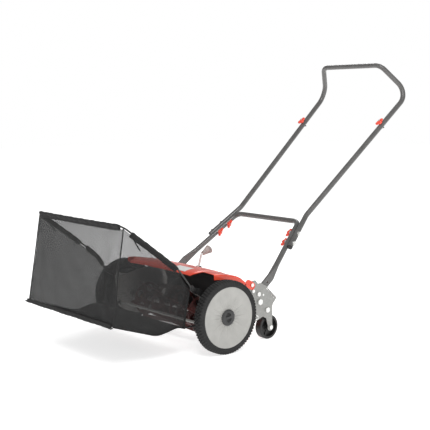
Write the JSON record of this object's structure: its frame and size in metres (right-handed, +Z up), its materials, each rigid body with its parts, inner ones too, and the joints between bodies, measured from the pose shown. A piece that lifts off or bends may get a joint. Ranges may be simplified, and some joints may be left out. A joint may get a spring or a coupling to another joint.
{
  "type": "reel mower",
  "caption": "Hand-pushed reel mower: spiral blades geared to two main wheels, bed knife, red cover, small rear wheels, tall tube handle and a front fabric catcher on a wire frame.",
  "frame": {"origin": "on the ground, midway between the two main wheels, straight below their axles", "axes": "+Z up, +X to the operator's left across the machine, +Y back towards the operator; the machine is pushed along -Y"},
  "size_m": [0.646, 1.4536, 1.013],
  "materials": {
    "galvanised_steel": "satin zinc spangle",
    "tube_paint": "semi-gloss dark grey",
    "red_paint": "gloss",
    "blade_paint": "satin",
    "knob_plastic": "gloss",
    "zinc_fastener": "bright zinc",
    "bare_steel": "machined",
    "bronze": "sintered",
    "black_plastic": "matte",
    "hub_plastic": "matte",
    "tyre_rubber": "matte",
    "gear_metal": "sintered",
    "black_wire": "satin",
    "mesh_fabric": "woven mesh",
    "floor_fabric": "coated",
    "lever_plastic": "satin",
    "grip_rubber": "ribbed"
  },
  "bodies": {
    "chassis": {"side_plate_left": "galvanised_steel", "side_plate_right": "galvanised_steel", "reel_cover": "red_paint", "cover_bolts": "zinc_fastener", "front_rod": "galvanised_steel", "rear_stay": "galvanised_steel", "frame_nuts": "zinc_fastener", "bed_bar": "blade_paint", "bed_knife": "bare_steel", "bed_screws": "zinc_fastener", "reel_bearings": "bronze", "axle_left": "bare_steel", "axle_right": "bare_steel", "axle_clips": "bare_steel", "gear_case_left": "black_plastic", "gear_case_right": "black_plastic", "catcher_brackets": "black_wire", "bracket_pads": "black_plastic", "handle_bolts": "zinc_fastener", "arm_bolts": "zinc_fastener", "lever_base": "black_plastic"},
    "main_wheel_left": {"tyre_left": "tyre_rubber", "wheel_left": "hub_plastic", "hub_cap_left": "hub_plastic"},
    "main_wheel_right": {"tyre_right": "tyre_rubber", "wheel_right": "hub_plastic", "hub_cap_right": "hub_plastic"},
    "drive_pinion_left": {"pinion_left": "gear_metal"},
    "drive_pinion_right": {"pinion_right": "gear_metal"},
    "reel": {"reel_shaft": "bare_steel", "reel_spiders": "blade_paint", "reel_blades": "blade_paint", "drive_pawls": "gear_metal"},
    "arm_left": {"rear_arm_left": "galvanised_steel", "rear_axle_left": "zinc_fastener"},
    "arm_right": {"rear_arm_right": "galvanised_steel", "rear_axle_right": "zinc_fastener"},
    "small_wheel_left": {"rear_wheel_left": "black_plastic"},
    "small_wheel_right": {"rear_wheel_right": "black_plastic"},
    "handle": {"lower_handle": "tube_paint", "middle_leg_left": "tube_paint", "middle_leg_right": "tube_paint", "leg_plugs": "black_plastic", "lap_bolts": "zinc_fastener", "upper_handle": "tube_paint", "joint_bolts": "zinc_fastener"},
    "wing_low_left_front": {"knob_low_left_front": "knob_plastic"},
    "wing_low_left_back": {"knob_low_left_back": "knob_plastic"},
    "wing_low_right_front": {"knob_low_right_front": "knob_plastic"},
    "wing_low_right_back": {"knob_low_right_back": "knob_plastic"},
    "wing_top_left": {"knob_top_left": "knob_plastic"},
    "wing_top_right": {"knob_top_right": "knob_plastic"},
    "catcher": {"catcher_frame": "black_wire", "catcher_hooks": "black_wire", "bag_front": "mesh_fabric", "bag_sides": "mesh_fabric", "bag_floor": "floor_fabric", "bag_rod": "black_wire"},
    "lever": {"hand_lever": "lever_plastic", "lever_grip": "grip_rubber"}
  },
  "joints": [
    {"name": "wheel_left_spin", "type": "hinge", "parent": "chassis", "child": "main_wheel_left", "pos_m": [0.304, 0, 0.127], "axis": [1, 0, 0], "continuous": true},
    {"name": "wheel_right_spin", "type": "hinge", "parent": "chassis", "child": "main_wheel_right", "pos_m": [-0.304, 0, 0.127], "axis": [1, 0, 0], "continuous": true},
    {"name": "pinion_left_spin", "type": "hinge", "parent": "chassis", "child": "drive_pinion_left", "pos_m": [0.295, 0.0506, 0.103], "axis": [1, 0, 0], "continuous": true},
    {"name": "pinion_right_spin", "type": "hinge", "parent": "chassis", "child": "drive_pinion_right", "pos_m": [-0.295, 0.0506, 0.103], "axis": [1, 0, 0], "continuous": true},
    {"name": "reel_spin", "type": "hinge", "parent": "chassis", "child": "reel", "pos_m": [0, 0.0506, 0.103], "axis": [1, 0, 0], "continuous": true},
    {"name": "rear_arm_left_swing", "type": "hinge", "parent": "chassis", "child": "arm_left", "pos_m": [0.252, 0.198, 0.145], "axis": [1, 0, 0], "range_deg": [-12, 12]},
    {"name": "rear_arm_right_swing", "type": "hinge", "parent": "chassis", "child": "arm_right", "pos_m": [-0.252, 0.198, 0.145], "axis": [1, 0, 0], "range_deg": [-12, 12]},
    {"name": "rear_wheel_left_spin", "type": "hinge", "parent": "arm_left", "child": "small_wheel_left", "pos_m": [0.235, 0.254, 0.044], "axis": [1, 0, 0], "continuous": true},
    {"name": "rear_wheel_right_spin", "type": "hinge", "parent": "arm_right", "child": "small_wheel_right", "pos_m": [-0.235, 0.254, 0.044], "axis": [1, 0, 0], "continuous": true},
    {"name": "handle_fold", "type": "hinge", "parent": "chassis", "child": "handle", "pos_m": [0, 0.192, 0.174], "axis": [1, 0, 0], "range_deg": [0, 50]},
    {"name": "knob_low_left_front_turn", "type": "hinge", "parent": "handle", "child": "wing_low_left_front", "pos_m": [0.18399, 0.387, 0.33532], "axis": [-1, 0, 0], "continuous": true},
    {"name": "knob_low_left_back_turn", "type": "hinge", "parent": "handle", "child": "wing_low_left_back", "pos_m": [0.17154, 0.424, 0.36593], "axis": [-1, 0, 0], "continuous": true},
    {"name": "knob_low_right_front_turn", "type": "hinge", "parent": "handle", "child": "wing_low_right_front", "pos_m": [-0.18399, 0.387, 0.33532], "axis": [1, 0, 0], "continuous": true},
    {"name": "knob_low_right_back_turn", "type": "hinge", "parent": "handle", "child": "wing_low_right_back", "pos_m": [-0.17154, 0.424, 0.36593], "axis": [1, 0, 0], "continuous": true},
    {"name": "knob_top_left_turn", "type": "hinge", "parent": "handle", "child": "wing_top_left", "pos_m": [0.218, 0.87489, 0.77487], "axis": [0, -0.6534, 0.7571], "continuous": true},
    {"name": "knob_top_right_turn", "type": "hinge", "parent": "handle", "child": "wing_top_right", "pos_m": [-0.218, 0.87489, 0.77487], "axis": [0, -0.6534, 0.7571], "continuous": true},
    {"name": "catcher_lift", "type": "hinge", "parent": "chassis", "child": "catcher", "pos_m": [0, -0.114, 0.233], "axis": [1, 0, 0], "range_deg": [-35, 0]},
    {"name": "hand_lever_tilt", "type": "hinge", "parent": "chassis", "child": "lever", "pos_m": [0, 0.1258, 0.2429], "axis": [1, 0, 0], "range_deg": [-20, 20]}
  ],
  "couplings": [
    {"joint": "pinion_left_spin", "follows": "wheel_left_spin", "ratio": 4.5},
    {"joint": "pinion_right_spin", "follows": "wheel_right_spin", "ratio": 4.5},
    {"joint": "reel_spin", "follows": "wheel_right_spin", "ratio": 4.5}
  ]
}
